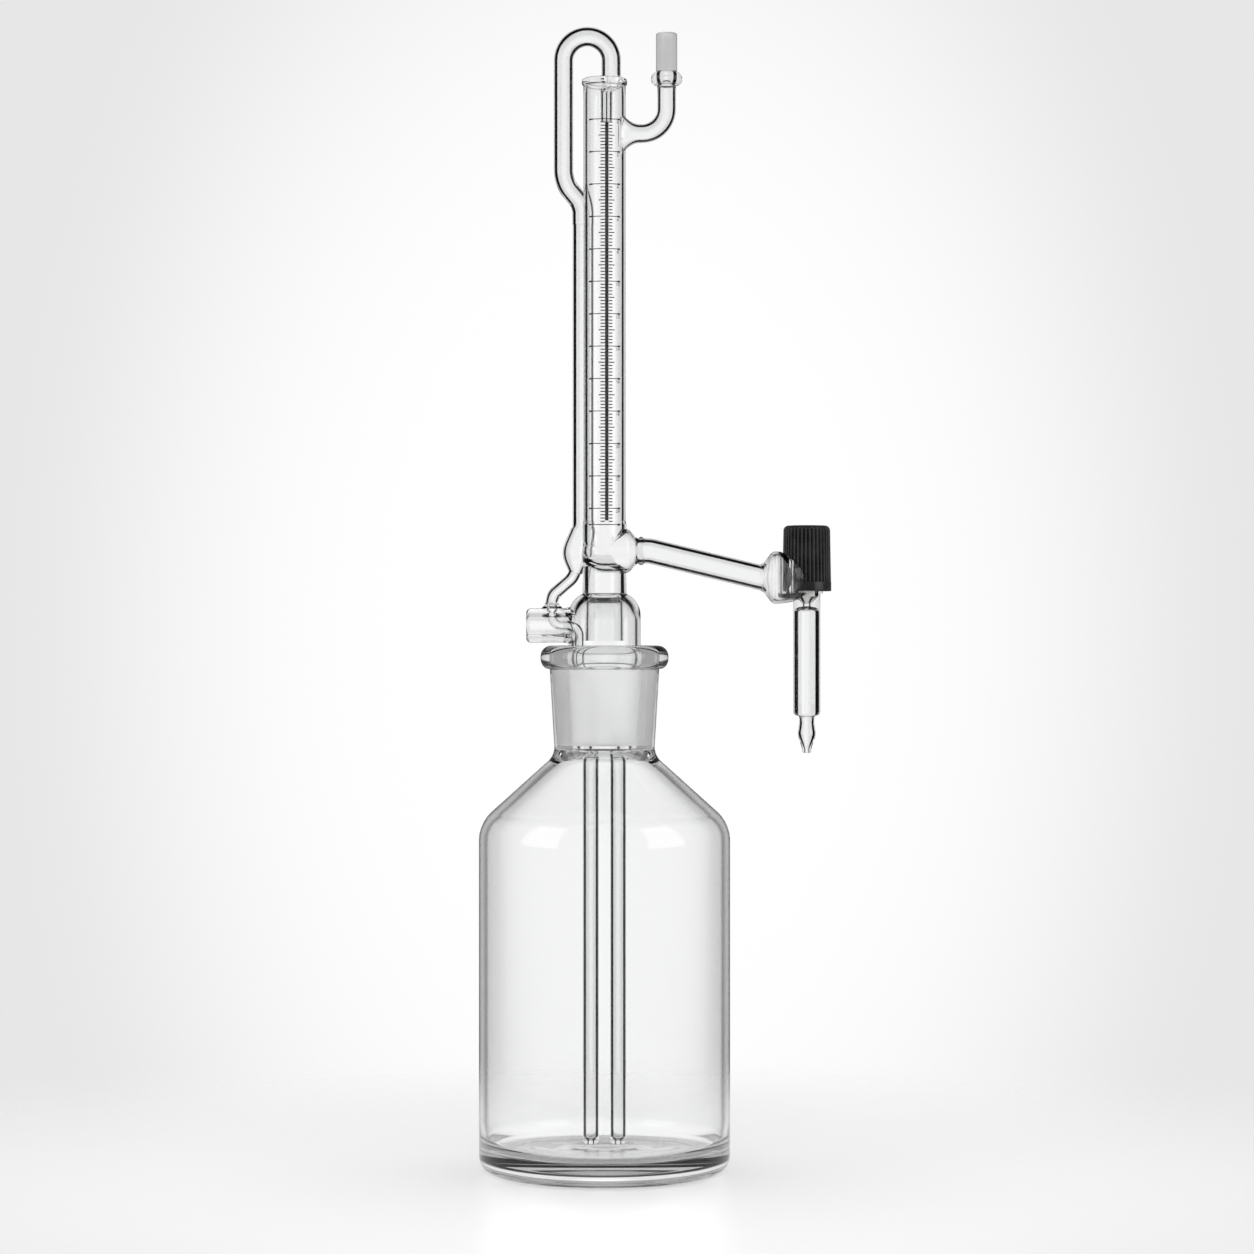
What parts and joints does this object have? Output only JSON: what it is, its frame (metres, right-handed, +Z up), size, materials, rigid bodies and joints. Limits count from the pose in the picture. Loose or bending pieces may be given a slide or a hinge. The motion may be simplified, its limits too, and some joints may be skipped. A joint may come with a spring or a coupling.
{
  "type": "automatic zero burette",
  "caption": "Automatic zero burette: graduated glass tube with overflow loop, needle-valve side arm and ground cone, standing in a glass reservoir bottle.",
  "frame": {"origin": "centre of the bottle's base, on the plane that it stands on", "axes": "+Z up along the bottle, +X towards the delivery arm and the valve, +Y away from the reader"},
  "size_m": [0.1418, 0.101, 0.4605],
  "materials": {
    "bottle_glass": "clear moulded glass, ground inside the neck",
    "burette_glass": "clear fire-polished tube glass",
    "ground_glass": "finely ground glass",
    "stripe_enamel": "dark enamel fused in glass",
    "needle_plastic": "white fluoropolymer, turned",
    "seal_rubber": "smooth black rubber",
    "spring_steel": "stainless spring steel",
    "knob_plastic": "black moulded plastic, semi-gloss, ribbed"
  },
  "bodies": {
    "bottle": {"reservoir_bottle": "bottle_glass"},
    "burette_head": {"ground_cone": "ground_glass", "cone_bell": "burette_glass", "support_stem": "burette_glass", "filling_dip_tube": "burette_glass", "air_dip_tube": "burette_glass", "inner_filling_tube": "burette_glass", "hose_port": "burette_glass", "link_tube": "burette_glass", "riser_bulb": "burette_glass", "riser_tube": "burette_glass", "overflow_loop": "burette_glass", "zero_tip": "burette_glass", "tube_top_seal": "burette_glass", "junction_chamber": "burette_glass", "graduated_tube": "burette_glass", "reading_stripe": "stripe_enamel", "vent_arm": "burette_glass", "guard_joint": "ground_glass", "delivery_arm": "burette_glass", "valve_barrel": "burette_glass", "valve_neck": "burette_glass", "outlet_tube": "burette_glass", "jet_tip": "burette_glass"},
    "needle": {"valve_spindle": "needle_plastic", "spindle_o_rings": "seal_rubber"},
    "knob": {"valve_knob": "knob_plastic", "thrust_washer": "needle_plastic", "retaining_ring": "spring_steel"}
  },
  "joints": [
    {"name": "head_lift", "type": "slide", "parent": "bottle", "child": "burette_head", "axis": [0, 0, 1], "range_m": [0, 0.205]},
    {"name": "needle_lift", "type": "slide", "parent": "burette_head", "child": "needle", "axis": [0, 0, 1], "range_m": [0, 0.003]},
    {"name": "knob_turn", "type": "hinge", "parent": "needle", "child": "knob", "pos_m": [0.0814, 0, 0.2389], "axis": [0, 0, 1], "range_deg": [0, 540]}
  ],
  "couplings": [
    {"joint": "needle_lift", "follows": "knob_turn", "m_per_rad": 0.0003183}
  ]
}
